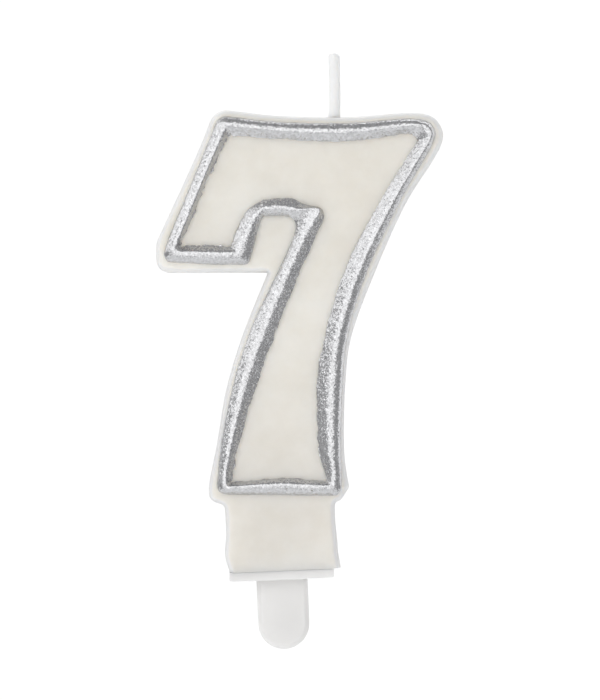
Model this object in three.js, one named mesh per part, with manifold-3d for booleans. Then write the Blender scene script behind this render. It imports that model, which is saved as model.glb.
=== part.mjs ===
// Number birthday candle, numeral 7: a cast wax numeral on a broad stem, with a rounded raised edge painted
// silver on both faces, a waxed wick in the top bar, and a plastic cake pick plugged into the stem.
//
// Millimetres. +Z is up the numeral, +X to its reader's right, and the face that is read looks along -Y.
// The origin is the centre of the cross plate's underside, where the pick meets the icing.

import * as THREE from "three";
import { mergeVertices } from "three/addons/utils/BufferGeometryUtils.js";
import Module from "manifold-3d";

const wasm = await Module();
wasm.setup();

// ---- Driving dimensions ----

const FACE_DEPTH = 4.5; // mid-plane to either flat face of the wax
const EDGE_HEIGHT = 0.95; // the raised edge's crest above the face
const EDGE_ROOT = 0.5; // how far the raised edge reaches into the casting it is part of
const EDGE_STEPS = 6; // chords across the raised edge's section
const EDGE_MEAN_WIDTH = 3.0;
const PAINT_GAP = 0.05;
const PAINT_THICKNESS = 0.25;
const ARC_STEPS = 4; // chords in each rounded corner
const LEAST_RADIUS = 0.12;

const PICK_TILT = THREE.MathUtils.degToRad(2.4); // the pick sits slightly askew in the stem
const PLATE = { width: 17.1, thickness: 1.45, depth: 8.4, bevel: 0.2 };
const TONGUE = { width: 8.35, length: 11.45, thickness: 1.8, bevel: 0.4 };
const TANG = { width: 7.0, length: 10.5, thickness: 1.6, bevel: 0.2, chamfer: 1.2 };
const SEAT_GAP = 0.05; // between the stem's foot and the cross plate
const SLOT_CLEARANCE = 0.3;
const CUTTER_SIZE = 40; // larger than the stem each way

const WICK_RADIUS = 0.94;
const WICK_SIDES = 10;
const WICK_STEPS = 14;
const WICK_CLEARANCE = 0.08;
const WICK_SHOULDER = 0.4; // height of the worn taper at its tip
const WICK_TIP_SHARE = 0.6; // radius at the very tip, as a share of the wick's
const WICK_X = 8.6; // where it stands out of the top bar
const WICK_FOOT = { x: 3.0, z: 14.0 }; // its lower end, inside the leg
const WICK_STRAIGHT_FROM = 62.0; // above this height the wick is upright
const WICK_TOP = 86.1;

// The mould's parting line, clockwise from the top left: x, z and corner radius.
// The stem is drawn past its foot, which the pick's seat then cuts off.
const PARTING_LINE = [
  [-10.95, 76.95, 2.8],
  [-1.15, 75.85, 0],
  [10.3, 75.6, 0],
  [22.9, 76.2, 0],
  [25.1, 75.25, 0],
  [26.3, 73.0, 0],
  [26.0, 71.2, 0],
  [24.7, 68.7, 0],
  [20.4, 61.9, 0],
  [15.0, 49.95, 0],
  [11.2, 39.45, 0],
  [10.35, 32.9, 0],
  [10.15, 20.3, 0],
  [10.9, 15.05, 1.1],
  [9.65, 13.1, 0.8],
  [8.55, 12.55, 0.8],
  [8.65, 9.65, 0],
  [9.05, 5.1, 0],
  [9.05, -1.0, 0],
  [-8.6, -1.0, 0],
  [-8.6, 1.1, 0],
  [-9.3, 3.75, 0],
  [-9.15, 7.2, 0],
  [-9.35, 12.1, 1.0],
  [-12.1, 13.0, 2.0],
  [-11.85, 16.05, 0],
  [-10.65, 22.1, 0],
  [-9.15, 30.95, 0],
  [-6.4, 40.1, 0],
  [-2.3, 50.2, 0.2],
  [-20.6, 50.2, 3.3],
  [-20.6, 55.0, 3.6],
  [-13.35, 70.9, 0],
];

// How far the casting's sides have drawn in from the parting line at each depth, from mid-plane to face.
const FLANK = [
  [0, 0],
  [0.2, 3.6],
  [0.45, 4.2],
  [0.95, FACE_DEPTH],
];

// The raised edge, clockwise from the top left: x and z of its outer foot, x and z of its inner foot, and the
// radius of its outer corner.
const RAISED_EDGE = [
  [-10.25, 75.75, -8.6, 72.75, 1.8],
  [-1.15, 74.8, -1.15, 72.05, 0],
  [10.3, 74.55, 10.3, 71.55, 0],
  [22.2, 75.2, 20.3, 72.7, 0],
  [24.3, 74.5, 21.75, 72.35, 0],
  [25.1, 73.0, 22.1, 71.8, 0],
  [24.8, 71.5, 21.75, 70.9, 0],
  [19.5, 62.05, 16.7, 62.9, 0],
  [13.9, 50.1, 10.3, 50.6, 0],
  [10.8, 40.3, 6.95, 39.45, 0],
  [9.95, 32.9, 5.9, 33.25, 0],
  [9.6, 21.95, 6.0, 21.95, 0],
  [9.85, 13.7, 7.3, 16.15, 1.3],
  [-0.35, 13.8, -0.35, 16.55, 0],
  [-10.75, 13.95, -8.45, 15.8, 1.3],
  [-9.85, 22.6, -6.9, 22.6, 0],
  [-8.2, 30.95, -4.5, 30.95, 0],
  [-5.25, 40.45, -1.05, 40.45, 0],
  [1.9, 56.1, 5.55, 56.2, 0],
  [2.2, 57.5, 6.65, 58.5, 0],
  [2.05, 58.45, 6.65, 60.2, 0],
  [1.45, 59.05, 5.85, 60.8, 0],
  [0.5, 59.3, 3.95, 61.2, 0],
  [-0.9, 59.35, 1.3, 62.25, 0],
  [-3.1, 59.3, -3.1, 62.5, 0.5],
  [-3.75, 57.5, -5.6, 60.3, 0],
  [-5.3, 51.4, -8.45, 54.4, 1.1],
  [-12.6, 51.5, -12.6, 54.45, 0],
  [-19.75, 51.9, -16.55, 54.45, 1.8],
  [-18.65, 55.45, -15.7, 56.65, 0.5],
  [-12.75, 69.75, -10.4, 69.25, 0],
];

// ---- Solids ----

function toSolid(geometry) {
  const shell = geometry.clone();
  shell.deleteAttribute("normal");
  shell.deleteAttribute("uv");
  const merged = mergeVertices(shell);
  const vertProperties = new Float32Array(merged.attributes.position.array);
  const triVerts = new Uint32Array(merged.index.array);
  return new wasm.Manifold(new wasm.Mesh({ numProp: 3, vertProperties, triVerts }));
}

function toGeometry(solid) {
  const { vertProperties, triVerts } = solid.getMesh();
  const geometry = new THREE.BufferGeometry();
  geometry.setAttribute("position", new THREE.BufferAttribute(vertProperties, 3));
  geometry.setIndex(new THREE.BufferAttribute(triVerts, 1));
  geometry.computeVertexNormals();
  return geometry;
}

// Triangles that close a flat ring, wound the way the ring runs.
function capTriangles(ring) {
  const facesFront = ring.every((point) => point.y === ring[0].y);
  const outline = ring.map((point) => new THREE.Vector2(point.x, facesFront ? point.z : point.y));
  const runsForward = THREE.ShapeUtils.area(outline) > 0;
  return THREE.ShapeUtils.triangulateShape(outline, []).map(([a, b, c]) => {
    const windsForward = THREE.ShapeUtils.area([outline[a], outline[b], outline[c]]) > 0;
    return windsForward === runsForward ? [a, b, c] : [a, c, b];
  });
}

// A closed skin over rings with the same number of points. Where the rings make a loop the last one joins the
// first, otherwise both ends are capped.
function loft(rings, { loop = false } = {}) {
  const count = rings[0].length;
  const triangles = [];
  const spans = loop ? rings.length : rings.length - 1;
  for (let i = 0; i < spans; i += 1) {
    const here = i * count;
    const next = ((i + 1) % rings.length) * count;
    for (let j = 0; j < count; j += 1) {
      const k = (j + 1) % count;
      triangles.push([here + j, here + k, next + k]);
      triangles.push([here + j, next + k, next + j]);
    }
  }
  if (!loop) {
    const last = (rings.length - 1) * count;
    capTriangles(rings[0]).forEach(([a, b, c]) => triangles.push([a, c, b]));
    capTriangles(rings.at(-1)).forEach(([a, b, c]) => triangles.push([last + a, last + b, last + c]));
  }
  return skin(rings.flat(), triangles);
}

// A geometry of the given points and triangles, with its faces pointing out.
function skin(points, triangles) {
  const volume = triangles.reduce((sum, [a, b, c]) => {
    return sum + points[a].dot(new THREE.Vector3().crossVectors(points[b], points[c]));
  }, 0);
  const outward = volume > 0 ? triangles : triangles.map(([a, b, c]) => [a, c, b]);
  const geometry = new THREE.BufferGeometry().setFromPoints(points);
  geometry.setIndex(outward.flat());
  geometry.computeVertexNormals();
  return geometry;
}

// ---- Outlines ----

// One corner of an outline: the point itself, or an arc that is tangent to both sides.
function cornerPoints(before, corner, after) {
  const [x, z, radius] = corner;
  const at = new THREE.Vector2(x, z);
  if (radius === 0) return [at];
  const back = new THREE.Vector2(before[0] - x, before[1] - z);
  const ahead = new THREE.Vector2(after[0] - x, after[1] - z);
  const reach = 0.45 * Math.min(back.length(), ahead.length());
  back.normalize();
  ahead.normalize();
  const halfAngle = Math.acos(back.dot(ahead)) / 2;
  const tangent = Math.min(radius / Math.tan(halfAngle), reach);
  const centre = back.clone().add(ahead).normalize().multiplyScalar(tangent / Math.cos(halfAngle)).add(at);
  const start = back.multiplyScalar(tangent).add(at).sub(centre);
  const end = ahead.multiplyScalar(tangent).add(at).sub(centre);
  const sweep = Math.atan2(start.cross(end), start.dot(end));
  return Array.from({ length: ARC_STEPS + 1 }, (_, step) => {
    return start.clone().rotateAround(new THREE.Vector2(), (sweep * step) / ARC_STEPS).add(centre);
  });
}

function outlinePoints(corners) {
  return corners.flatMap((corner, i) => {
    return cornerPoints(corners.at(i - 1), corner, corners[(i + 1) % corners.length]);
  });
}

// A clockwise outline drawn in by a distance. Its radii grow where it is hollow and shrink elsewhere.
function drawnIn(corners, distance) {
  return corners.map(([x, z, radius], i) => {
    const before = corners.at(i - 1);
    const after = corners[(i + 1) % corners.length];
    const arriving = new THREE.Vector2(x - before[0], z - before[1]).normalize();
    const leaving = new THREE.Vector2(after[0] - x, after[1] - z).normalize();
    const inward = new THREE.Vector2(arriving.y + leaving.y, -arriving.x - leaving.x);
    inward.multiplyScalar(distance / (1 + arriving.dot(leaving)));
    const hollow = arriving.cross(leaving) > 0;
    const drawnRadius = hollow ? radius + distance : Math.max(radius - distance, LEAST_RADIUS);
    return [x + inward.x, z + inward.y, radius === 0 ? 0 : drawnRadius];
  });
}

function ringAt(points, y) {
  return points.map((point) => new THREE.Vector3(point.x, y, point.y));
}

// ---- The wax ----

function casting() {
  const ring = ([inset, depth], side) => ringAt(outlinePoints(drawnIn(PARTING_LINE, inset)), side * depth);
  const frontHalf = FLANK.slice(1).reverse().map((step) => ring(step, -1));
  const backHalf = FLANK.map((step) => ring(step, 1));
  return toSolid(loft([...frontHalf, ...backHalf]));
}

// The raised edge's ring a given share of the way from its outer foot to its inner one.
function edgeRing(share, height, side) {
  const corners = RAISED_EDGE.map(([outerX, outerZ, innerX, innerZ, radius]) => [
    THREE.MathUtils.lerp(outerX, innerX, share),
    THREE.MathUtils.lerp(outerZ, innerZ, share),
    radius === 0 ? 0 : Math.max(THREE.MathUtils.lerp(radius, 0, share), LEAST_RADIUS),
  ]);
  return ringAt(outlinePoints(corners), side * (FACE_DEPTH + height));
}

// The arch of rings over the raised edge, grown outward by a distance, with its feet lifted off the face.
function edgeArch(grown, lift, side) {
  const halfSpan = 0.5 + grown / EDGE_MEAN_WIDTH;
  const rise = EDGE_HEIGHT + grown - lift;
  return Array.from({ length: EDGE_STEPS + 1 }, (_, step) => {
    const angle = (Math.PI * step) / EDGE_STEPS;
    return edgeRing(0.5 - halfSpan * Math.cos(angle), lift + rise * Math.sin(angle), side);
  });
}

function raisedEdge(side) {
  const roots = [edgeRing(1, -EDGE_ROOT, side), edgeRing(0, -EDGE_ROOT, side)];
  return toSolid(loft([...edgeArch(0, 0, side), ...roots], { loop: true }));
}

function paintCoat(side) {
  const outside = edgeArch(PAINT_GAP + PAINT_THICKNESS, PAINT_GAP, side);
  const inside = edgeArch(PAINT_GAP, PAINT_GAP, side).reverse();
  return loft([...outside, ...inside], { loop: true });
}

// What is taken out of the stem for the pick: everything below its seat, and the tang's slot.
function seatCutter() {
  const seat = PLATE.thickness + SEAT_GAP;
  const below = new THREE.BoxGeometry(CUTTER_SIZE, CUTTER_SIZE, CUTTER_SIZE);
  below.translate(0, 0, seat - CUTTER_SIZE / 2);
  const slotTop = PLATE.thickness + TANG.length + SLOT_CLEARANCE;
  const slot = new THREE.BoxGeometry(
    TANG.width + 2 * SLOT_CLEARANCE,
    TANG.thickness + 2 * SLOT_CLEARANCE,
    slotTop,
  ).translate(0, 0, slotTop / 2);
  return toSolid(below.rotateY(-PICK_TILT)).add(toSolid(slot.rotateY(-PICK_TILT)));
}

function waxBody() {
  const channel = toSolid(wickTube(WICK_RADIUS + WICK_CLEARANCE, WICK_FOOT.z - WICK_CLEARANCE, WICK_TOP));
  return toGeometry(
    casting().add(raisedEdge(-1)).add(raisedEdge(1)).subtract(channel).subtract(seatCutter()),
  );
}

// ---- The wick ----

function wickCentre(z) {
  const rise = THREE.MathUtils.smoothstep(z, WICK_FOOT.z, WICK_STRAIGHT_FROM);
  return THREE.MathUtils.lerp(WICK_FOOT.x, WICK_X, rise);
}

function wickRing(radius, z) {
  return Array.from({ length: WICK_SIDES }, (_, side) => {
    const angle = (2 * Math.PI * side) / WICK_SIDES;
    return new THREE.Vector3(wickCentre(z) + radius * Math.cos(angle), radius * Math.sin(angle), z);
  });
}

function wickTube(radius, bottom, top) {
  const heights = Array.from({ length: WICK_STEPS + 1 }, (_, step) => {
    return THREE.MathUtils.lerp(bottom, WICK_STRAIGHT_FROM, step / WICK_STEPS);
  });
  return loft([...heights, top].map((z) => wickRing(radius, z)));
}

function wick() {
  const shoulder = WICK_TOP - WICK_SHOULDER;
  const body = wickTube(WICK_RADIUS, WICK_FOOT.z, shoulder);
  const tip = loft([wickRing(WICK_RADIUS, shoulder), wickRing(WICK_TIP_SHARE * WICK_RADIUS, WICK_TOP)]);
  return toGeometry(toSolid(body).add(toSolid(tip)));
}

// ---- The cake pick ----

// A flat moulding of the given outline in X and Z, centred on the mid-plane, with bevelled edges.
function flatMoulding(shape, { thickness, bevel }) {
  const geometry = new THREE.ExtrudeGeometry(shape, {
    depth: thickness - 2 * bevel,
    bevelThickness: bevel,
    bevelSize: bevel,
    bevelOffset: -bevel,
    bevelSegments: 1,
    curveSegments: 12,
  });
  return toSolid(geometry.rotateX(Math.PI / 2).translate(0, thickness / 2 - bevel, 0));
}

function crossPlate() {
  const half = PLATE.width / 2;
  const shape = new THREE.Shape();
  shape.moveTo(-half, 0);
  shape.lineTo(half, 0);
  shape.lineTo(half, PLATE.thickness);
  shape.lineTo(-half, PLATE.thickness);
  return flatMoulding(shape, { thickness: PLATE.depth, bevel: PLATE.bevel });
}

function tongue() {
  const half = TONGUE.width / 2;
  const shape = new THREE.Shape();
  shape.moveTo(half, PLATE.thickness / 2);
  shape.lineTo(-half, PLATE.thickness / 2);
  shape.lineTo(-half, half - TONGUE.length);
  shape.absarc(0, half - TONGUE.length, half, Math.PI, 2 * Math.PI);
  return flatMoulding(shape, TONGUE);
}

function tang() {
  const half = TANG.width / 2;
  const top = PLATE.thickness + TANG.length;
  const shape = new THREE.Shape();
  shape.moveTo(-half, PLATE.thickness / 2);
  shape.lineTo(half, PLATE.thickness / 2);
  shape.lineTo(half, top - TANG.chamfer);
  shape.lineTo(half - TANG.chamfer, top);
  shape.lineTo(TANG.chamfer - half, top);
  shape.lineTo(-half, top - TANG.chamfer);
  return flatMoulding(shape, TANG);
}

function holder() {
  return toGeometry(crossPlate().add(tongue()).add(tang()));
}

// ---- Materials and assembly ----

const ivoryWax = new THREE.MeshStandardMaterial({ color: 0xe6e2d9, roughness: 0.55, metalness: 0 });
const silverPaint = new THREE.MeshStandardMaterial({ color: 0xc4c7ce, roughness: 0.35, metalness: 1 });
const waxedCotton = new THREE.MeshStandardMaterial({ color: 0xeeebe7, roughness: 0.7, metalness: 0 });
const milkyPlastic = new THREE.MeshStandardMaterial({ color: 0xe4e3e1, roughness: 0.4, metalness: 0 });

function part(name, geometry, material) {
  const mesh = new THREE.Mesh(geometry, material.clone());
  mesh.name = name;
  mesh.material.flatShading = true;
  return mesh;
}

const group = new THREE.Group();
const pick = part("holder", holder(), milkyPlastic);
pick.rotation.y = -PICK_TILT;
group.add(
  part("wax_body", waxBody(), ivoryWax),
  part("silver_outline_front", paintCoat(-1), silverPaint),
  part("silver_outline_back", paintCoat(1), silverPaint),
  part("wick", wick(), waxedCotton),
  pick,
);

export default group;
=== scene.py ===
"""Number birthday candle, numeral 7: the looks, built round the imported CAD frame.

Shapes are worked out in millimetres in the frame's own axes, +Z up the numeral and its face towards -Y, and
scaled to metres when each mesh is made.
"""

import math

import bmesh
import bpy
import numpy as np
from mathutils import Matrix, Vector, geometry, kdtree, noise


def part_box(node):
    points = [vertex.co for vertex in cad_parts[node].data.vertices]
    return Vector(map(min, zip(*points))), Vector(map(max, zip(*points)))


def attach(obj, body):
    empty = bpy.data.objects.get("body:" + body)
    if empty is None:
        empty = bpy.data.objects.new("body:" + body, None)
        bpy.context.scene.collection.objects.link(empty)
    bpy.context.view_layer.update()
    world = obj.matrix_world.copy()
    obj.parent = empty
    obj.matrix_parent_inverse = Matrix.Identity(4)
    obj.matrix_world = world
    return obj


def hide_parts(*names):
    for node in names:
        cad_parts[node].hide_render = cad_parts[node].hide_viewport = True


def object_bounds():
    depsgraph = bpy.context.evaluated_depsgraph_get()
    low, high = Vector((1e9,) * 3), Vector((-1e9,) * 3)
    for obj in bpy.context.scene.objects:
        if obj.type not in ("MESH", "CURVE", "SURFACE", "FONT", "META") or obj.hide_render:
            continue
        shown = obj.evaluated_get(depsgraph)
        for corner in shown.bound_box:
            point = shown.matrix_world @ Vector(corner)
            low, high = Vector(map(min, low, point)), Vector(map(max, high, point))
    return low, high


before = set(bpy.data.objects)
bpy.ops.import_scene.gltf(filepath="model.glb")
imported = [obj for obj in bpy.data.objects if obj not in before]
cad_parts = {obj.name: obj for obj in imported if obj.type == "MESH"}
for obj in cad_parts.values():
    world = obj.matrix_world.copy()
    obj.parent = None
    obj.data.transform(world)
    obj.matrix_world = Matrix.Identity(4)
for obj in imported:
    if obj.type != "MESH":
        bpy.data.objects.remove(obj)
cad_lo, cad_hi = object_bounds()

MM = 0.001

# ---- Driving dimensions, millimetres ----

FACE_DEPTH = 4.5  # mid-plane to the flat faces
DRAFT = 0.15  # how far the sides draw in before the shoulder
SHOULDER_WIDTH = 1.0  # from the parting line to where the face is flat
SHOULDER_DROP = 1.0
SHOULDER_INSETS = (0.58, 0.68, 0.8, 0.95)  # rings of the face's mesh where it is still falling away
SIDE_LIMIT = 0.5  # the side wall's rings end this far in, and the face's mesh begins
WALL_STEPS = 7  # rings up the side wall
SHOULDER_STEPS = 8  # rings round the shoulder, up to the face's mesh
SEAM_HALF_WIDTH = 0.12  # from mid-plane to where the mould's seam meets the wall
SEAM_EASE = (0.02, 0.35)  # inset and depth where the wall has left the seam
SEAM_FLASH = 0.045  # how far the seam stands proud
MOULD_SLIP = (0.09, -0.06)  # how far the back half of the mould sat off the front half, x and z
CORNER_STEPS = 6  # segments of each rounded corner
RING_SPACING = 0.26
FACE_SPACING = 0.9
WAVINESS_REACH = 1.5  # the face's waviness sets in over this distance from its outline
CLEAR_OF_OUTLINE = 0.8  # the face's loose points keep this far from its outline
CLEAR_OF_EDGE = 0.35  # and this far from the raised edge

EDGE_HEIGHT = 0.95  # crest of the raised edge above the face
EDGE_STEPS = 22  # rings across the raised edge
INNER_RADIUS = 0.25  # most that an inner corner of the raised edge is rounded
CREST_SHARE = 0.47  # how far across the raised edge its crest runs, from the outer foot
CREST_EASE = 0.58  # share of a plain flank that is a straight slope
LEG_FOOT_TOP = 16.5  # height that the raised edge along the leg's foot reaches
LEG_TOP = 48.0  # height where the leg opens into the web and the bar
SERIF_FOOT_TOP = 55.2
NOTCH_CORNER = (4.0, 59.75)
NOTCH_CENTRE = (-1.5, 56.5)
TOP_CORNER = (23.2, 73.2)

PAINT_THICKNESS = 0.075
PAINT_SINK = 0.06  # how far the coat's hidden underside lies in the wax
PAINT_RIM = 0.03
OUTER_RIM_INSET = 0.02  # the coat starts this far in from the raised edge's outer foot
INNER_RIM_LAP = 0.08  # and ends this far past the inner foot
OUTER_RIM_STRAY = 0.3  # how much its outer rim strays, as a share of how much its inner one does
COAT_SEEDS = {-1: 5.0, 1: 41.0}  # noise seeds of the front and back coats
COAT_SPACING = 0.15
COAT_STEPS = 28
UNDERSIDE_STEPS = 5
NICK_DEPTH = 0.12
NICKS = [  # small knocks in the paint: x, z and radius
    (0.8, 14.9, 0.2),
    (4.9, 14.6, 0.22),
    (20.2, 73.2, 0.2),
    (20.7, 72.9, 0.22),
    (21.2, 72.6, 0.2),
]

PICK_TILT = math.radians(2.4)
PLATE_WIDTH, PLATE_THICKNESS, PLATE_DEPTH = 17.1, 1.45, 8.4
PLATE_TOP_RADIUS, PLATE_FOOT_RADIUS = 0.12, 0.35
PLATE_UNEVENNESS = 0.09  # of its lower edge
TONGUE_WIDTH, TONGUE_LENGTH, TONGUE_THICKNESS = 8.35, 11.45, 1.8
TONGUE_ROOT_RADIUS = 0.95
TANG_WIDTH, TANG_LENGTH, TANG_THICKNESS = 7.0, 10.5, 1.6
TANG_TIP_RADIUS, TANG_ROOT_RADIUS = 1.4, 0.3
SEAT_GAP = 0.01
SLOT_CLEARANCE = 0.3

WICK_RADIUS = 0.94
WICK_X = 8.6
WICK_FOOT_X = 3.0
WICK_STRAIGHT_FROM = 62.0
WICK_SIDES = 48
WICK_SPACING = 0.09  # between its rings where it can be seen
WICK_HIDDEN_STEPS = 60  # rings inside the wax
WICK_TIP = 0.55  # height of the rounding at its tip
TIP_RINGS = ((0.97, 0.2), (0.9, 0.37), (0.76, 0.48), (0.5, 0.54), (0.22, 0.56))  # share of its width, height
BAR_TOP = 75.45  # height of the top bar's upper edge where the wick stands
COLLAR_SIDES, COLLAR_STEPS = 40, 8
COLLAR_DEPTH = 0.9  # how far below the bar's top the collar starts
COLLAR_SPREAD = 1.5  # how far a collar of fullness 1 would spread from the wick
COLLAR_OVERLAP = 0.3  # every ring but the last is this much wider, so that only the last is inside the wick

FLOOR_DROP = 240  # how far the floor lies below the candle's lowest point
FLOOR_RADIUS = 500
FLOOR_SIDES = 96

# ---- Studio, metres and light levels ----

CAMERA_PLACE = (0.00295, -1.3, 0.0375)
VIEW_HEIGHT = 0.11463  # height of the picture where the candle stands
SENSOR_WIDTH = 36
LIGHT_TARGET = (0.003, 0, 0.038)
TENT_LEFT, TENT_RIGHT = 0.62, 1.3
TENT_FRONT = 0.42
TENT_OVERHEAD = 2.9
TENT_BACK = 0.5
TENT_UNDERFOOT = 0.74
BACKDROP_LEVEL = 1.05

# The parting line, clockwise from the top left: x, z and corner radius.
PARTING_LINE = [
    (-10.95, 76.95, 2.8),
    (-1.15, 75.85, 0),
    (10.3, 75.6, 0),
    (22.9, 76.2, 0),
    (25.1, 75.25, 0),
    (26.3, 73.0, 0),
    (26.0, 71.2, 0),
    (24.7, 68.7, 0),
    (20.4, 61.9, 0),
    (15.0, 49.95, 0),
    (11.2, 39.45, 0),
    (10.35, 32.9, 0),
    (10.15, 20.3, 0),
    (10.9, 15.05, 1.1),
    (9.65, 13.1, 0.8),
    (8.55, 12.55, 0.8),
    (8.65, 9.65, 0),
    (9.05, 5.1, 0),
    (9.05, -1.0, 0),
    (-8.6, -1.0, 0),
    (-8.6, 1.1, 0),
    (-9.3, 3.75, 0),
    (-9.15, 7.2, 0),
    (-9.35, 12.1, 1.0),
    (-12.1, 13.0, 2.0),
    (-11.85, 16.05, 0),
    (-10.65, 22.1, 0),
    (-9.15, 30.95, 0),
    (-6.4, 40.1, 0),
    (-2.3, 50.2, 0.2),
    (-20.6, 50.2, 3.3),
    (-20.6, 55.0, 3.6),
    (-13.35, 70.9, 0),
]

# The raised edge, clockwise from the top left: x and z of its outer foot, x and z of its inner foot, and the
# radius of its outer corner.
RAISED_EDGE = [
    (-10.25, 75.75, -8.6, 72.75, 1.8),
    (-1.15, 74.8, -1.15, 72.05, 0),
    (10.3, 74.55, 10.3, 71.55, 0),
    (22.2, 75.2, 20.3, 72.7, 0),
    (24.3, 74.5, 21.75, 72.35, 0),
    (25.1, 73.0, 22.1, 71.8, 0),
    (24.8, 71.5, 21.75, 70.9, 0),
    (19.5, 62.05, 16.7, 62.9, 0),
    (13.9, 50.1, 10.3, 50.6, 0),
    (10.8, 40.3, 6.95, 39.45, 0),
    (9.95, 32.9, 5.9, 33.25, 0),
    (9.6, 21.95, 6.0, 21.95, 0),
    (9.85, 13.7, 7.3, 16.15, 1.3),
    (-0.35, 13.8, -0.35, 16.55, 0),
    (-10.75, 13.95, -8.45, 15.8, 1.3),
    (-9.85, 22.6, -6.9, 22.6, 0),
    (-8.2, 30.95, -4.5, 30.95, 0),
    (-5.25, 40.45, -1.05, 40.45, 0),
    (1.9, 56.1, 5.55, 56.2, 0),
    (2.2, 57.5, 6.65, 58.5, 0),
    (2.05, 58.45, 6.65, 60.2, 0),
    (1.45, 59.05, 5.85, 60.8, 0),
    (0.5, 59.3, 3.95, 61.2, 0),
    (-0.9, 59.35, 1.3, 62.25, 0),
    (-3.1, 59.3, -3.1, 62.1, 0.5),
    (-3.75, 57.5, -5.6, 60.3, 0),
    (-5.3, 51.4, -8.45, 54.4, 1.1),
    (-12.6, 51.5, -12.6, 54.45, 0),
    (-19.75, 51.9, -16.55, 54.45, 1.8),
    (-18.65, 55.45, -15.7, 56.65, 0.5),
    (-12.75, 69.75, -10.4, 69.25, 0),
]


# ---- Curves ----


def corner_points(before, corner, after):
    """The corner itself, or where it has a radius, an arc tangent to both sides."""
    x, z, radius = corner
    at = np.array((x, z), float)
    if radius == 0:
        return [at]
    back = np.array(before[:2], float) - at
    ahead = np.array(after[:2], float) - at
    reach = 0.45 * min(np.linalg.norm(back), np.linalg.norm(ahead))
    back /= np.linalg.norm(back)
    ahead /= np.linalg.norm(ahead)
    half_angle = math.acos(np.clip(back @ ahead, -1, 1)) / 2
    tangent = min(radius / math.tan(half_angle), reach)
    middle = (back + ahead) / np.linalg.norm(back + ahead)
    centre = at + middle * tangent / math.cos(half_angle)
    start = at + back * tangent - centre
    end = at + ahead * tangent - centre
    sweep = math.atan2(start[0] * end[1] - start[1] * end[0], start @ end)
    turns = [sweep * step / CORNER_STEPS for step in range(CORNER_STEPS + 1)]
    return [centre + (start[0] * math.cos(a) - start[1] * math.sin(a),
                      start[0] * math.sin(a) + start[1] * math.cos(a)) for a in turns]


def corner_loop(corners):
    total = len(corners)
    return np.array([point for i in range(total)
                     for point in corner_points(corners[i - 1], corners[i], corners[(i + 1) % total])])


def segment_counts(points, spacing):
    lengths = np.linalg.norm(np.roll(points, -1, axis=0) - points, axis=1)
    return np.maximum(1, np.round(lengths / spacing)).astype(int)


def spline_loop(points, counts):
    """A closed centripetal Catmull-Rom curve, with counts[i] points from points[i] up to the next."""
    total = len(points)
    pieces = []
    for i, count in enumerate(counts):
        p0, p1, p2, p3 = (points[(i + k) % total] for k in (-1, 0, 1, 2))
        t1 = np.linalg.norm(p1 - p0) ** 0.5
        t2 = t1 + np.linalg.norm(p2 - p1) ** 0.5
        t3 = t2 + np.linalg.norm(p3 - p2) ** 0.5
        t = np.linspace(t1, t2, count, endpoint=False)[:, None]
        a1 = (p0 * (t1 - t) + p1 * t) / t1
        a2 = (p1 * (t2 - t) + p2 * (t - t1)) / (t2 - t1)
        a3 = (p2 * (t3 - t) + p3 * (t - t2)) / (t3 - t2)
        b1 = (a1 * (t2 - t) + a2 * t) / t2
        b2 = (a2 * (t3 - t) + a3 * (t - t1)) / (t3 - t1)
        pieces.append((b1 * (t2 - t) + b2 * (t - t1)) / (t2 - t1))
    return np.vstack(pieces)


def rounded_outline(corners, spacing):
    """A smooth closed outline through corners given as x, z and radius."""
    points = corner_loop(corners)
    return spline_loop(points, segment_counts(points, spacing))


def inward_normals(loop):
    """Unit normals of a clockwise loop, pointing to its inside."""
    along = np.roll(loop, -1, axis=0) - np.roll(loop, 1, axis=0)
    along /= np.linalg.norm(along, axis=1)[:, None]
    return np.column_stack((along[:, 1], -along[:, 0]))


def inside(points, loop):
    """Which points lie inside a closed loop, by crossing count."""
    x, z = points[:, :1], points[:, 1:]
    x1, z1 = loop[:, 0], loop[:, 1]
    x2, z2 = np.roll(x1, -1), np.roll(z1, -1)
    spans = (z1 > z) != (z2 > z)
    with np.errstate(divide="ignore", invalid="ignore"):
        crossing = x < (x2 - x1) * (z - z1) / (z2 - z1) + x1
    return (spans & crossing).sum(axis=1) % 2 == 1


def distances_to(points, loop):
    tree = kdtree.KDTree(len(loop))
    for i, (x, z) in enumerate(loop):
        tree.insert((x, z, 0), i)
    tree.balance()
    return np.array([tree.find((x, z, 0))[2] for x, z in points])


def rough(points, scale, seed):
    """Smooth noise from -1 to 1 at each point; scale is the size of its lumps."""
    return np.array([noise.noise(Vector(p) / scale + Vector((seed, -seed, 0.37 * seed))) for p in points])


def level_points(points, level=0.0):
    """The points of a flat outline in space, all at one level."""
    return np.column_stack((points, np.full(len(points), level)))


# ---- Meshes ----


def make_object(name, vertices, faces, material=None):
    mesh = bpy.data.meshes.new(name)
    mesh.from_pydata([tuple(v) for v in np.asarray(vertices) * MM], [], faces)
    obj = bpy.data.objects.new(name, mesh)
    bpy.context.scene.collection.objects.link(obj)
    work = bmesh.new()
    work.from_mesh(mesh)
    bmesh.ops.remove_doubles(work, verts=work.verts, dist=1e-4 * MM)
    bmesh.ops.dissolve_degenerate(work, edges=work.edges, dist=1e-4 * MM)
    bmesh.ops.recalc_face_normals(work, faces=work.faces)
    work.to_mesh(mesh)
    work.free()
    if material:
        mesh.materials.append(material)
    return obj


def shade(obj, sharp_above=40):
    obj.data.polygons.foreach_set("use_smooth", [True] * len(obj.data.polygons))
    obj.data.set_sharp_from_angle(angle=math.radians(sharp_above))


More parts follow.
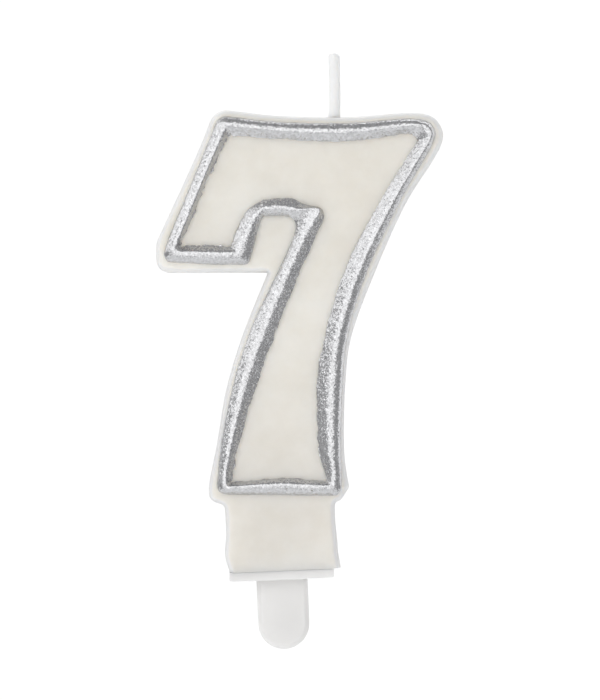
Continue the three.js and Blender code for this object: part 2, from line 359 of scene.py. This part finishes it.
def combine(obj, other, operation):
    """Joins another solid to this one or cuts it away, and deletes it."""
    step = obj.modifiers.new("combine", "BOOLEAN")
    step.operation = operation
    step.solver = "EXACT"
    step.object = other
    graph = bpy.context.evaluated_depsgraph_get()
    mesh = bpy.data.meshes.new_from_object(obj.evaluated_get(graph))
    obj.modifiers.clear()
    obj.data = mesh
    bpy.data.objects.remove(other)


def strip_faces(first, second, count):
    """Quads between two closed rings of count vertices that start at the given indices."""
    return [(first + j, first + (j + 1) % count, second + (j + 1) % count, second + j) for j in range(count)]


def capped_faces(rings, count):
    """The faces up a stack of closed rings, with a cap on its first ring and on its last."""
    faces = []
    for k in range(1, rings):
        faces += strip_faces((k - 1) * count, k * count, count)
    return faces + [tuple(range(count)), tuple(range((rings - 1) * count, rings * count))]


def tube_faces(rings, count):
    """The faces of a closed tube of rings, whose last ring joins its first."""
    faces = []
    for k in range(rings):
        faces += strip_faces(k * count, (k + 1) % rings * count, count)
    return faces


def box_object(name, low, high):
    corners = [(x, y, z) for x in (low[0], high[0]) for y in (low[1], high[1]) for z in (low[2], high[2])]
    faces = [(0, 1, 3, 2), (4, 6, 7, 5), (0, 4, 5, 1), (2, 3, 7, 6), (0, 2, 6, 4), (1, 5, 7, 3)]
    return make_object(name, corners, faces)


def tilt(obj):
    """Turns a mesh made upright about the origin to the pick's lean."""
    obj.data.transform(Matrix.Rotation(-PICK_TILT, 4, "Y"))


# ---- The raised edge's ring grid ----


def edge_loops(spacing):
    """The outer and inner foot of the raised edge as two loops with matching points."""
    outer = corner_loop([(row[0], row[1], row[4]) for row in RAISED_EDGE])
    inner = corner_loop([(row[2], row[3], min(row[4], INNER_RADIUS)) for row in RAISED_EDGE])
    counts = segment_counts((outer + inner) / 2, spacing)
    return spline_loop(outer, counts), spline_loop(inner, counts)


def past(values, edge, blur):
    """0 before an edge and 1 beyond it, blurred between them."""
    return 1 / (1 + np.exp((edge - values) / blur))


def bell(places, spot, reach, power=2):
    """1 at a spot, falling to 0 beyond its reach: the higher the power, the flatter its top."""
    away = np.linalg.norm(places - spot, axis=1)
    return np.exp(-(away / reach) ** power)


def edge_form(places):
    """Two shares along the raised edge: how far across it its crest runs, and how plain its outer flank is.

    The crest lies nearer the panel round the notch's corner, up the serif, along its foot and the leg's, and
    a little up the leg's left. It lies farther from it up the right side and round the top corner. The flank
    is plain in the notch, on the right above the leg and round the top corner.
    """
    x, z = places.T
    off_foot = past(z, 17, 0.8)
    above_leg = past(z, LEG_TOP, 3)
    above_serif_foot = past(z, SERIF_FOOT_TOP, 0.5)
    leg_foot = 1 - past(z, LEG_FOOT_TOP, 0.4)
    left_leg = (1 - past(x, 2, 0.5)) * off_foot * (1 - past(z, LEG_TOP, 1.5))
    right_side = past(x, 6.2, 0.5) * off_foot * (1 - past(z, 71.5, 0.8))
    serif_side = (1 - past(x, -9.5, 0.7)) * above_serif_foot
    serif_foot = (1 - past(x, -4.5, 0.5)) * past(z, LEG_TOP, 1) * (1 - above_serif_foot)
    nearer = 0.18 * leg_foot + 0.05 * left_leg + 0.19 * serif_side + 0.16 * serif_foot
    nearer += 0.19 * bell(places, NOTCH_CORNER, 2.6) + 0.31 * bell(places, NOTCH_CORNER, 1.1)
    farther = right_side * (0.02 + 0.08 * above_leg) + 0.22 * bell(places, TOP_CORNER, 2.2)
    plain = right_side * above_leg + bell(places, NOTCH_CENTRE, 5.5, 6) + bell(places, TOP_CORNER, 2.2, 4)
    return CREST_SHARE + nearer - farther, np.clip(plain, 0, 1)


def plain_flank(climb):
    """Height of a flank that is a plain slope, eased into the crest."""
    steepness = 2 / (1 + CREST_EASE)
    eased = 1 - steepness / 2 * (1 - climb) ** 2 / (1 - CREST_EASE)
    return np.where(climb < CREST_EASE, steepness * climb, eased)


def edge_height(share, form):
    """Height of the raised edge at a share of the way across it.

    Its inner flank is plain. Its outer one is round, except where its form says that it is plain as well.
    """
    crest, plain = form
    share = np.clip(share, 0, 1)
    climb = share / crest
    outer = (1 - plain) * (1 - np.abs(1 - climb) ** 2.5) + plain * plain_flank(climb)
    inner = plain_flank((1 - share) / (1 - crest))
    return EDGE_HEIGHT * np.where(share < crest, outer, inner)


def shoulder_drop(distance):
    """How far the face has fallen away at a distance in from the parting line."""
    reach = SHOULDER_WIDTH - DRAFT
    off = np.clip((SHOULDER_WIDTH - distance) / reach, 0, 1)
    return SHOULDER_DROP * (1 - np.sqrt(1 - off ** 2))


# ---- The wax ----


def face_waviness(points, side):
    flat = level_points(points)
    return 0.05 * rough(flat, 9.0, 3.1 * side) + 0.02 * rough(flat, 3.2, 7.7 * side)


def on_edge(points, outer, inner):
    """Which points of a face lie under its raised edge."""
    return inside(points, outer) & ~inside(points, inner)


def face_grid(boundary, outer, inner):
    """Points spread over the flat parts of a face, clear of its shoulder and its raised edge."""
    low, high = boundary.min(axis=0), boundary.max(axis=0)
    rows = np.arange(low[1], high[1], FACE_SPACING * 0.87)
    columns = np.arange(low[0], high[0], FACE_SPACING)
    grid = np.array([(x + FACE_SPACING / 2 * (i % 2), z) for i, z in enumerate(rows) for x in columns])
    grid = grid[inside(grid, boundary)]
    grid = grid[~on_edge(grid, outer, inner)]
    clear = distances_to(grid, boundary) > CLEAR_OF_OUTLINE
    for foot in (outer, inner):
        clear &= distances_to(grid, foot) > CLEAR_OF_EDGE
    return grid[clear]


def shoulder_points(parting, boundary, outer, inner):
    """Rings of points down the shoulder, wherever they are clear of the raised edge."""
    normals = inward_normals(parting)
    rings = np.vstack([parting + normals * inset for inset in SHOULDER_INSETS])
    return rings[inside(rings, boundary) & ~on_edge(rings, outer, inner)]


def edge_points(outer, inner):
    """Rings of points across the raised edge, and how high they stand above the face."""
    form = edge_form((outer + inner) / 2)
    shares = np.linspace(0, 1, EDGE_STEPS + 1)
    rings = np.vstack([outer + (inner - outer) * share for share in shares])
    return rings, np.concatenate([edge_height(share, form) for share in shares])


def wax_face(parting, boundary, side):
    """One face of the casting inside its side wall: vertices and triangles."""
    outer, inner = edge_loops(RING_SPACING)
    shoulder = shoulder_points(parting, boundary, outer, inner)
    edge, heights = edge_points(outer, inner)
    points = np.vstack((boundary, shoulder, face_grid(boundary, outer, inner), edge))
    rise = np.zeros(len(points))
    rise[-len(edge):] = heights
    distance = distances_to(points, parting)
    distance[:len(boundary)] = SIDE_LIMIT
    waviness = np.clip((distance - SIDE_LIMIT) / WAVINESS_REACH, 0, 1) * face_waviness(points, side)
    depth = FACE_DEPTH + rise - shoulder_drop(distance) + waviness
    flat, _, triangles, origins, _, _ = geometry.delaunay_2d_cdt(
        [Vector(p) for p in points], [], [list(range(len(boundary)))], 1, 1e-5)
    vertices = [(p.x, side * depth[source[0]], p.y) for p, source in zip(flat, origins)]
    return vertices, [tuple(t) for t in triangles]


def side_wall_profile():
    """Inset and depth of the side wall's rings, from the mid-plane out to the face's mesh."""
    ease_inset, ease_depth = SEAM_EASE
    wall_height = FACE_DEPTH - SHOULDER_DROP - ease_depth
    rings = [(0.0, SEAM_HALF_WIDTH), SEAM_EASE]
    for k in range(1, WALL_STEPS + 1):
        inset = ease_inset + (DRAFT - ease_inset) * k / WALL_STEPS
        rings.append((inset, ease_depth + wall_height * k / WALL_STEPS))
    reach = SHOULDER_WIDTH - DRAFT
    top = math.acos((SHOULDER_WIDTH - SIDE_LIMIT) / reach)
    for k in range(1, SHOULDER_STEPS):
        turn = top * k / SHOULDER_STEPS
        inset = SHOULDER_WIDTH - reach * math.cos(turn)
        rings.append((inset, FACE_DEPTH - SHOULDER_DROP * (1 - math.sin(turn))))
    rings.append((SIDE_LIMIT, FACE_DEPTH - float(shoulder_drop(SIDE_LIMIT))))
    return rings


def wax_half(parting, side):
    """Rings of one half of the casting from the seam to its face, and the face itself."""
    normals = inward_normals(parting)
    vertices, faces = [], []
    count = len(parting)
    for k, (inset, depth) in enumerate(side_wall_profile()):
        ring = parting + normals * inset
        vertices += [(x, side * depth, z) for x, z in ring]
        if k:
            faces += strip_faces((k - 1) * count, k * count, count)
    face_vertices, face_faces = wax_face(parting, ring, side)
    start = len(vertices)
    faces += [tuple(start + i for i in face) for face in face_faces]
    return vertices + face_vertices, faces


def wax_casting():
    parting = rounded_outline(PARTING_LINE, RING_SPACING * 1.2)
    count = len(parting)
    front, front_faces = wax_half(parting, -1)
    back, back_faces = wax_half(parting + MOULD_SLIP, 1)
    seam_ring = parting - inward_normals(parting) * SEAM_FLASH + np.array(MOULD_SLIP) / 2
    seam = [(x, 0, z) for x, z in seam_ring]
    faces = front_faces + [tuple(len(front) + i for i in face) for face in back_faces]
    start = len(front) + len(back)
    faces += strip_faces(0, start, count) + strip_faces(start, len(front), count)
    return make_object("wax_casting", front + back + seam, faces)


def wick_collar():
    """The meniscus of wax that climbs the wick's foot, fuller on its left."""
    vertices = []
    for k in range(COLLAR_STEPS + 1):
        share = k / COLLAR_STEPS
        core = WICK_RADIUS * 0.7 + (COLLAR_OVERLAP if k < COLLAR_STEPS else 0)
        for j in range(COLLAR_SIDES):
            angle = 2 * math.pi * j / COLLAR_SIDES
            fullness = 0.62 - 0.3 * math.cos(angle) + 0.12 * math.sin(3 * angle + 1)
            radius = core + fullness * COLLAR_SPREAD * (1 - share) ** 2.4
            height = BAR_TOP - COLLAR_DEPTH + (0.75 + 0.75 * fullness) * 1.15 * share
            vertices.append((WICK_X + radius * math.cos(angle), radius * math.sin(angle), height))
    return make_object("wick_collar", vertices, capped_faces(COLLAR_STEPS + 1, COLLAR_SIDES))


def seat_cutters():
    """What is cut from the wax: all below the pick's seat, and a slot for its tang."""
    seat = PLATE_THICKNESS + SEAT_GAP
    below = box_object("below_seat", (-20, -10, seat - 12), (20, 10, seat))
    half_width = TANG_WIDTH / 2 + SLOT_CLEARANCE
    half_depth = TANG_THICKNESS / 2 + SLOT_CLEARANCE
    slot = box_object("slot", (-half_width, -half_depth, seat - 1),
                      (half_width, half_depth, PLATE_THICKNESS + TANG_LENGTH + SLOT_CLEARANCE))
    tilt(below)
    tilt(slot)
    return below, slot


def build_wax(material):
    wax = wax_casting()
    combine(wax, wick_collar(), "UNION")
    for cutter in seat_cutters():
        combine(wax, cutter, "DIFFERENCE")
    wax.name = "candle_wax"
    wax.data.materials.clear()
    wax.data.materials.append(material)
    shade(wax, 50)
    return wax


# ---- The silver coat ----


def rim_noise(points, plain, seed):
    """How far the brush strayed along the rim, in millimetres.

    It strayed most up the panel's left side, and least where the raised edge is plain.
    """
    hurried = (0.4 + 0.6 * (1 - past(points[:, 0], -8.5, 0.8))) * (1 - 0.75 * plain)
    ragged = 0.4 * rough(points, 1.2, seed + 11) + 0.24 * rough(points, 0.55, seed + 23)
    return 0.22 * (1 - 0.4 * plain) * rough(points, 4.5, seed) + hurried * ragged


def nick_depth(ring):
    """How deep the small knocks in the paint are at each point."""
    depth = np.zeros(len(ring))
    for x, z, radius in NICKS:
        away = np.linalg.norm(ring - (x, z), axis=1)
        depth += NICK_DEPTH * np.exp(-(away / radius) ** 2)
    return depth


def coat_film(ring, to_rim, seed):
    """How thick the paint is at each point of a ring: thin by the rim, grainy, and knocked here and there."""
    at = level_points(ring, seed)
    grains = 0.014 * rough(at, 0.9, seed + 31) + 0.016 * rough(at, 0.34, seed + 37)
    body = 1 - np.exp(-to_rim / 0.1)
    return np.maximum((PAINT_THICKNESS + PAINT_RIM + grains) * body - nick_depth(ring), 0)


def coat_rims(outer, inner, plain, seed):
    """Where the coat starts and ends, in millimetres beyond the outer and inner foot of the raised edge."""
    middle = level_points((outer + inner) / 2)
    start = OUTER_RIM_STRAY * rim_noise(middle, plain, seed) - OUTER_RIM_INSET
    return start, rim_noise(middle, plain, seed + 3) + INNER_RIM_LAP


def coat(name, side, material):
    """A skin of paint over the raised edge, thinning out at its rims, with its underside sunk in the wax."""
    outer, inner = edge_loops(COAT_SPACING)
    width = np.linalg.norm(inner - outer, axis=1)
    form = edge_form((outer + inner) / 2)
    seed = COAT_SEEDS[side]
    before_outer, past_inner = coat_rims(outer, inner, form[1], seed)
    low = -before_outer / width
    high = 1 + past_inner / width
    parting = rounded_outline(PARTING_LINE, RING_SPACING)

    def ring_on_wax(across):
        share = low + (high - low) * across
        ring = outer + (inner - outer) * share[:, None]
        depth = FACE_DEPTH + edge_height(share, form) - shoulder_drop(distances_to(ring, parting))
        return ring, depth - PAINT_RIM

    vertices = []
    even = np.linspace(0, 1, COAT_STEPS + 1)
    closer_at_rims = 0.6 * (1 - np.cos(np.pi * even)) / 2 + 0.4 * even
    for across in closer_at_rims:
        ring, depth = ring_on_wax(across)
        skin = depth + coat_film(ring, np.minimum(across, 1 - across) * (high - low) * width, seed)
        vertices += [(x, side * y, z) for (x, z), y in zip(ring, skin)]
    for across in np.linspace(1, 0, UNDERSIDE_STEPS + 1):
        ring, depth = ring_on_wax(across)
        vertices += [(x, side * (y - PAINT_SINK), z) for (x, z), y in zip(ring, depth)]
    obj = make_object(name, vertices, tube_faces(len(vertices) // len(outer), len(outer)), material)
    shade(obj, 80)
    return obj


# ---- The wick ----


def wick_centre(height, foot):
    """How far along x the wick runs at a height: it wanders over from its foot, then stands straight."""
    rise = min(max((height - foot) / (WICK_STRAIGHT_FROM - foot), 0), 1)
    return WICK_FOOT_X + (WICK_X - WICK_FOOT_X) * rise * rise * (3 - 2 * rise)


def wick_radius(angle, z):
    """The wick's radius with its braid, swellings and strands, flaring where it stands on the wax."""
    around = (math.cos(angle), math.sin(angle))
    braid = 0.010 * math.cos(3 * angle + 2.1 * z) * math.cos(3 * angle - 2.1 * z)
    swell = 0.016 * noise.noise(Vector((*around, z / 2.4)))
    strands = 0.010 * noise.noise(Vector((5 * around[0], 5 * around[1], z / 4)))
    above_wax = max(z - BAR_TOP, 0)
    flare = (0.12 - 0.22 * min(around[0], 0.4)) * math.exp(-above_wax / 0.6)
    return WICK_RADIUS - 0.02 + braid + swell + strands + flare


def wick_tip(body):
    """Rings that round off the wick above its last full ring, lower on the right."""
    centre = body.mean(axis=0)
    rings = []
    for shrink, lift in TIP_RINGS:
        ring = centre + (body - centre) * shrink
        rightward = (ring[:, 0] - centre[0]) / WICK_RADIUS
        ring[:, 2] = centre[2] + lift * (1 - 0.45 * np.clip(rightward, 0, 1) ** 1.5)
        rings.append(ring)
    return rings


def build_wick(material):
    low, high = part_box("wick")
    foot, top = low[2] / MM, high[2] / MM
    hidden = np.linspace(foot, BAR_TOP - 1, WICK_HIDDEN_STEPS, endpoint=False)
    shown = np.arange(BAR_TOP - 1, top - WICK_TIP, WICK_SPACING)
    rings = []
    for z in np.concatenate((hidden, shown)):
        sway = 0.05 * math.sin(0.45 * (z - BAR_TOP)) if z > BAR_TOP else 0
        x = wick_centre(z, foot) + sway
        angles = [2 * math.pi * j / WICK_SIDES for j in range(WICK_SIDES)]
        radii = [wick_radius(angle, z) for angle in angles]
        rings.append([(x + r * math.cos(a), r * math.sin(a), z) for r, a in zip(radii, angles)])
    rings += wick_tip(np.array(rings[-1]))
    vertices = [tuple(point) for ring in rings for point in ring]
    obj = make_object("waxed_wick", vertices, capped_faces(len(rings), WICK_SIDES), material)
    shade(obj, 60)
    return obj


# ---- The cake pick ----


def slab(name, outline, profile):
    """A moulding of one outline whose inset changes through its depth."""
    normals = inward_normals(outline)
    vertices = []
    for inset, depth in profile:
        vertices += [(x, depth, z) for x, z in outline + normals * inset]
    return make_object(name, vertices, capped_faces(len(profile), len(outline)))


def mirrored_profile(half):
    """A profile from the back face to the front one, from the inset and depth of its front half."""
    return [(inset, depth) for inset, depth in reversed(half)] + [(inset, -depth) for inset, depth in half]


def cross_plate():
    half = PLATE_WIDTH / 2
    upper = [(-half, PLATE_THICKNESS, PLATE_TOP_RADIUS), (half, PLATE_THICKNESS, PLATE_TOP_RADIUS)]
    lower = [(half, 0, PLATE_FOOT_RADIUS), (-half, 0, PLATE_FOOT_RADIUS)]
    outline = rounded_outline(upper + lower, 0.35)
    lumps = PLATE_UNEVENNESS * rough(level_points(outline), 2.2, 9.0)
    outline[:, 1] += np.where(outline[:, 1] < PLATE_THICKNESS / 2, lumps, 0)
    edge = PLATE_DEPTH / 2
    profile = [(0, 0.5), (0, edge - 0.1), (0.02, edge - 0.04), (0.06, edge)]
    return slab("pick_plate", outline, mirrored_profile(profile))


def tongue():
    """The blade that goes into the cake, with a round end and a raised middle on both sides."""
    half = TONGUE_WIDTH / 2
    reach = TONGUE_LENGTH - half
    start = PLATE_THICKNESS - 0.1
    turns = [math.pi * k / 24 for k in range(25)]
    root = [(-half, start, TONGUE_ROOT_RADIUS), (half, start, TONGUE_ROOT_RADIUS)]
    round_end = [(half * math.cos(-a), -reach + half * math.sin(-a), 0) for a in turns]
    outline = rounded_outline(root + round_end, 0.3)
    face = TONGUE_THICKNESS / 2
    rim = [(0, 0.1), (0, 0.42), (0.05, 0.52), (0.14, 0.58)]
    raised_middle = [(0.62, face - 0.06), (0.7, face - 0.015), (0.8, face)]
    return slab("pick_tongue", outline, mirrored_profile(rim + raised_middle))


def tang():
    """The hidden part that plugs into the wax."""
    half = TANG_WIDTH / 2
    top = PLATE_THICKNESS + TANG_LENGTH
    root = PLATE_THICKNESS / 2
    outline = rounded_outline([(-half, top, TANG_TIP_RADIUS), (half, top, TANG_TIP_RADIUS),
                               (half, root, TANG_ROOT_RADIUS), (-half, root, TANG_ROOT_RADIUS)], 0.4)
    face = TANG_THICKNESS / 2
    profile = [(0, 0.1), (0, face - 0.25), (0.08, face - 0.08), (0.25, face)]
    return slab("pick_tang", outline, mirrored_profile(profile))


def build_pick(material):
    pick = cross_plate()
    combine(pick, tongue(), "UNION")
    combine(pick, tang(), "UNION")
    tilt(pick)
    pick.name = "cake_pick"
    pick.data.materials.clear()
    pick.data.materials.append(material)
    shade(pick, 35)
    return pick


# ---- Materials ----


def add_node(tree, kind, inputs=None, **settings):
    """A node with its settings, and each input either linked from a socket or given a value."""
    made = tree.nodes.new(kind)
    for name, value in settings.items():
        setattr(made, name, value)
    for socket, value in (inputs or {}).items():
        if isinstance(value, bpy.types.NodeSocket):
            tree.links.new(value, made.inputs[socket])
        else:
            made.inputs[socket].default_value = value
    return made


def new_material(name):
    material = bpy.data.materials.new(name)
    material.use_nodes = True
    tree = material.node_tree
    tree.nodes.clear()
    place = add_node(tree, "ShaderNodeTexCoord").outputs["Object"]
    return material, tree, place


def finish_material(tree, shader):
    add_node(tree, "ShaderNodeOutputMaterial", {"Surface": shader.outputs[0]})


def noise_at(tree, place, scale, detail=3, roughness=0.5):
    return add_node(tree, "ShaderNodeTexNoise", {"Vector": place, "Scale": scale, "Detail": detail,
                                                  "Roughness": roughness})


def vector_math(tree, operation, *values):
    result = add_node(tree, "ShaderNodeVectorMath", dict(enumerate(values)), operation=operation)
    return result.outputs["Vector"]


def smooth_step(tree, value, start, end):
    return add_node(tree, "ShaderNodeMapRange", {"Value": value, "From Min": start, "From Max": end},
                    interpolation_type="SMOOTHSTEP").outputs["Result"]


def mix_values(tree, factor, first, second):
    return add_node(tree, "ShaderNodeMix", {"Factor": factor, "A": first, "B": second}).outputs["Result"]


def mix_colours(tree, factor, first, second):
    mix = add_node(tree, "ShaderNodeMix", data_type="RGBA")
    for name, value in (("Factor_Float", factor), ("A_Color", first), ("B_Color", second)):
        socket = next(s for s in mix.inputs if s.identifier == name)
        if isinstance(value, bpy.types.NodeSocket):
            tree.links.new(value, socket)
        else:
            socket.default_value = value
    return next(s for s in mix.outputs if s.identifier == "Result_Color")


def painted_shade_of(tree, colour, share):
    """A colour at a share of its brightness, very slightly cooler, used as painted shade."""
    return vector_math(tree, "MULTIPLY", colour, (share, share, share * 1.01))


def bumped(tree, height, strength, distance, normal=None):
    """The surface's normal with a texture's relief on it, over the mesh's own normal or a given one."""
    inputs = {"Height": height, "Strength": strength, "Distance": distance}
    if normal:
        inputs["Normal"] = normal
    return add_node(tree, "ShaderNodeBump", inputs).outputs["Normal"]


def two_tone(tree, factor, low, high, start=0.35, end=0.65):
    ramp = add_node(tree, "ShaderNodeValToRGB", {"Fac": factor})
    ramp.color_ramp.elements[0].position = start
    ramp.color_ramp.elements[0].color = (*low, 1)
    ramp.color_ramp.elements[1].position = end
    ramp.color_ramp.elements[1].color = (*high, 1)
    return ramp.outputs["Color"]


def wax_colour_and_painted_shade(tree, place):
    """Cloudy ivory on the two faces, with painted shade: greyer on the sides by which way they face, and a
    little darker down the stem.
    """
    mottle = noise_at(tree, place, 130, 7, 0.62)
    poured = two_tone(tree, mottle.outputs["Fac"], (0.855, 0.82, 0.747), (0.915, 0.886, 0.823))
    normal = add_node(tree, "ShaderNodeNewGeometry").outputs["Normal"]
    facing = add_node(tree, "ShaderNodeSeparateXYZ", {"Vector": normal}).outputs["Y"]
    flatness = add_node(tree, "ShaderNodeMath", {0: facing}, operation="ABSOLUTE").outputs[0]
    face_share_vs_painted_side_shade = smooth_step(tree, flatness, 0.75, 0.995)
    # Painted shade: where the surface faces sideways rather than front or back, the wax takes a flat greyer
    # colour.
    colour = mix_colours(tree, face_share_vs_painted_side_shade, (0.84, 0.834, 0.822, 1), poured)
    height = add_node(tree, "ShaderNodeSeparateXYZ", {"Vector": place}).outputs["Z"]
    clear_of_painted_stem_shade = smooth_step(tree, height, 0.008, 0.045)
    # Painted shade: below 45 mm the wax darkens towards the stem, down to 0.93 of its colour.
    return mix_colours(tree, clear_of_painted_stem_shade, painted_shade_of(tree, colour, 0.93), colour)


def wax_material():
    material, tree, place = new_material("ivory_wax")
    swell = noise_at(tree, place, 420, 4).outputs["Fac"]
    grain = noise_at(tree, place, 3800, 2).outputs["Fac"]
    relief = bumped(tree, grain, 0.12, 0.00004, bumped(tree, swell, 0.25, 0.0002))
    gloss = add_node(tree, "ShaderNodeMapRange", {"Value": swell, "To Min": 0.42, "To Max": 0.58})
    shader = add_node(tree, "ShaderNodeBsdfPrincipled", {
        "Base Color": wax_colour_and_painted_shade(tree, place), "Roughness": gloss.outputs["Result"], "Normal": relief,
        "IOR": 1.44, "Specular IOR Level": 0.4,
        "Subsurface Weight": 0.8, "Subsurface Radius": (1.0, 0.95, 0.88), "Subsurface Scale": 0.003})
    finish_material(tree, shader)
    return material


def silver_material():
    """Glitter in a clear binder: cells of flake, each lying at its own small tilt, over a grainy skin."""
    material, tree, place = new_material("silver_glitter_paint")
    flakes = add_node(tree, "ShaderNodeTexVoronoi", {"Vector": place, "Scale": 5000})
    grains = noise_at(tree, place, 2300, 3, 0.6)
    tint = two_tone(tree, grains.outputs["Fac"], (0.50, 0.50, 0.507), (0.64, 0.64, 0.65))
    normal = add_node(tree, "ShaderNodeNewGeometry").outputs["Normal"]
    lean = vector_math(tree, "SUBTRACT", flakes.outputs["Color"], (0.5, 0.5, 0.5))
    steep = vector_math(tree, "MULTIPLY", vector_math(tree, "MULTIPLY", lean, lean), lean)
    gentle = vector_math(tree, "MULTIPLY_ADD", lean, (0.15, 0.15, 0.15), normal)
    facet = vector_math(tree, "NORMALIZE", vector_math(tree, "ADD", steep, gentle))
    relief = bumped(tree, grains.outputs["Fac"], 0.8, 0.00008, facet)
    shader = add_node(tree, "ShaderNodeBsdfPrincipled", {
        "Base Color": tint, "Metallic": 1.0, "Roughness": 0.24, "Normal": relief})
    finish_material(tree, shader)
    return material


def wick_material():
    material, tree, place = new_material("waxed_cotton")
    along = add_node(tree, "ShaderNodeMapping", {"Vector": place, "Scale": (1, 1, 0.12)}).outputs["Vector"]
    threads = noise_at(tree, along, 5200, 3, 0.6)
    blotch = noise_at(tree, place, 900, 3)
    colour = two_tone(tree, blotch.outputs["Fac"], (0.93, 0.917, 0.895), (0.95, 0.94, 0.922))
    relief = bumped(tree, threads.outputs["Fac"], 0.3, 0.00004)
    shader = add_node(tree, "ShaderNodeBsdfPrincipled", {
        "Base Color": colour, "Roughness": 0.62, "Normal": relief,
        "Subsurface Weight": 0.9, "Subsurface Radius": (1.0, 0.95, 0.9), "Subsurface Scale": 0.002})
    finish_material(tree, shader)
    return material


def pick_material():
    material, tree, place = new_material("milky_plastic")
    cloud = noise_at(tree, place, 160, 3)
    colour = two_tone(tree, cloud.outputs["Fac"], (0.79, 0.782, 0.77), (0.82, 0.812, 0.80))
    ripple = noise_at(tree, place, 900, 3)
    relief = bumped(tree, ripple.outputs["Fac"], 0.15, 0.00008)
    shader = add_node(tree, "ShaderNodeBsdfPrincipled", {
        "Base Color": colour, "Roughness": 0.38, "Normal": relief, "IOR": 1.49,
        "Subsurface Weight": 0.7, "Subsurface Radius": (1.0, 1.0, 1.0), "Subsurface Scale": 0.0012})
    finish_material(tree, shader)
    return material


# ---- Studio ----


def area_light(name, place, size, power):
    """A white softbox that faces the candle."""
    data = bpy.data.lights.new(name, "AREA")
    data.shape = "RECTANGLE"
    data.size, data.size_y = size
    data.energy = power
    light = bpy.data.objects.new(name, data)
    light.location = place
    light.rotation_euler = (Vector(LIGHT_TARGET) - Vector(place)).to_track_quat("-Z", "Y").to_euler()
    light.visible_camera = False
    bpy.context.scene.collection.objects.link(light)


def tent_level(tree):
    """How bright the tent is in each direction, by the x, y and z of that direction."""
    direction = add_node(tree, "ShaderNodeTexCoord").outputs["Generated"]
    parts = add_node(tree, "ShaderNodeSeparateXYZ", {"Vector": direction})
    x, y, z = (parts.outputs[axis] for axis in "XYZ")
    walls = add_node(tree, "ShaderNodeMapRange", {"Value": x, "From Min": -1.0, "From Max": 1.0,
                                                  "To Min": TENT_LEFT, "To Max": TENT_RIGHT})
    level = mix_values(tree, smooth_step(tree, y, 0.0, 0.28), TENT_FRONT, walls.outputs["Result"])
    overhead = mix_values(tree, smooth_step(tree, y, 0.3, 0.6), TENT_FRONT, TENT_OVERHEAD)
    level = mix_values(tree, smooth_step(tree, z, 0.35, 0.7), level, overhead)
    level = mix_values(tree, smooth_step(tree, y, 0.7, 0.95), level, TENT_BACK)
    return mix_values(tree, smooth_step(tree, z, -0.5, -0.7), level, TENT_UNDERFOOT)


def studio_world():
    """A light tent that lights the candle, and a plain white backdrop for the camera to see."""
    world = bpy.data.worlds.new("light_tent")
    bpy.context.scene.world = world
    world.use_nodes = True
    tree = world.node_tree
    tree.nodes.clear()
    tent_inputs = {"Color": (0.985, 0.99, 1.0, 1), "Strength": tent_level(tree)}
    backdrop_inputs = {"Color": (1, 1, 1, 1), "Strength": BACKDROP_LEVEL}
    tent_light = add_node(tree, "ShaderNodeBackground", tent_inputs).outputs[0]
    backdrop = add_node(tree, "ShaderNodeBackground", backdrop_inputs).outputs[0]
    seen = add_node(tree, "ShaderNodeLightPath").outputs["Is Camera Ray"]
    both = add_node(tree, "ShaderNodeMixShader", {0: seen, 1: tent_light, 2: backdrop})
    add_node(tree, "ShaderNodeOutputWorld", {"Surface": both.outputs[0]})


def board_material():
    material, tree, place = new_material("pale_board")
    speckle = noise_at(tree, place, 30, 3)
    colour = two_tone(tree, speckle.outputs["Fac"], (0.92, 0.92, 0.92), (0.94, 0.94, 0.94))
    shader = add_node(tree, "ShaderNodeBsdfPrincipled", {
        "Base Color": colour, "Roughness": 0.8,
        "Emission Color": (0.95, 0.975, 1, 1), "Emission Strength": 0.12})
    finish_material(tree, shader)
    return material


def pale_floor():
    """A plain round sheet of pale board under the object."""
    height = cad_lo[2] / MM - FLOOR_DROP
    angles = np.linspace(0, 2 * math.pi, FLOOR_SIDES, endpoint=False)
    ring = [(FLOOR_RADIUS * math.cos(a), FLOOR_RADIUS * math.sin(a), height) for a in angles]
    floor = make_object("floor", ring, [tuple(range(FLOOR_SIDES))], board_material())


def add_camera():
    """A straight front view from CAMERA_PLACE."""
    data = bpy.data.cameras.new("camera")
    data.sensor_width = SENSOR_WIDTH
    data.lens = SENSOR_WIDTH * -CAMERA_PLACE[1] / VIEW_HEIGHT
    data.clip_end = 20
    camera = bpy.data.objects.new("camera", data)
    camera.location = CAMERA_PLACE
    camera.rotation_euler = (math.pi / 2, 0, 0)
    bpy.context.scene.collection.objects.link(camera)
    bpy.context.scene.camera = camera


# ---- Assembly ----

add_camera()
studio_world()
pale_floor()
area_light("front_softbox", place=(-0.15, -1.5, 0.2), size=(1.6, 1.6), power=9.35)
area_light("upper_left_softbox", place=(-0.95, -0.38, 0.62), size=(1.7, 0.73), power=4.3)
bpy.context.scene.view_settings.view_transform = "Standard"

wax = build_wax(wax_material())
silver = silver_material()
front_coat = coat("silver_edge_front", -1, silver)
back_coat = coat("silver_edge_back", 1, silver)
wick = build_wick(wick_material())
pick = build_pick(pick_material())

for piece, node, slot in (
    (wax, "wax_body", "wax"),
    (front_coat, "silver_outline_front", "silver_paint"),
    (back_coat, "silver_outline_back", "silver_paint"),
    (wick, "wick", "wick_cotton"),
):
    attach(piece, "candle")
    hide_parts(node)
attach(pick, "holder")
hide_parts("holder")
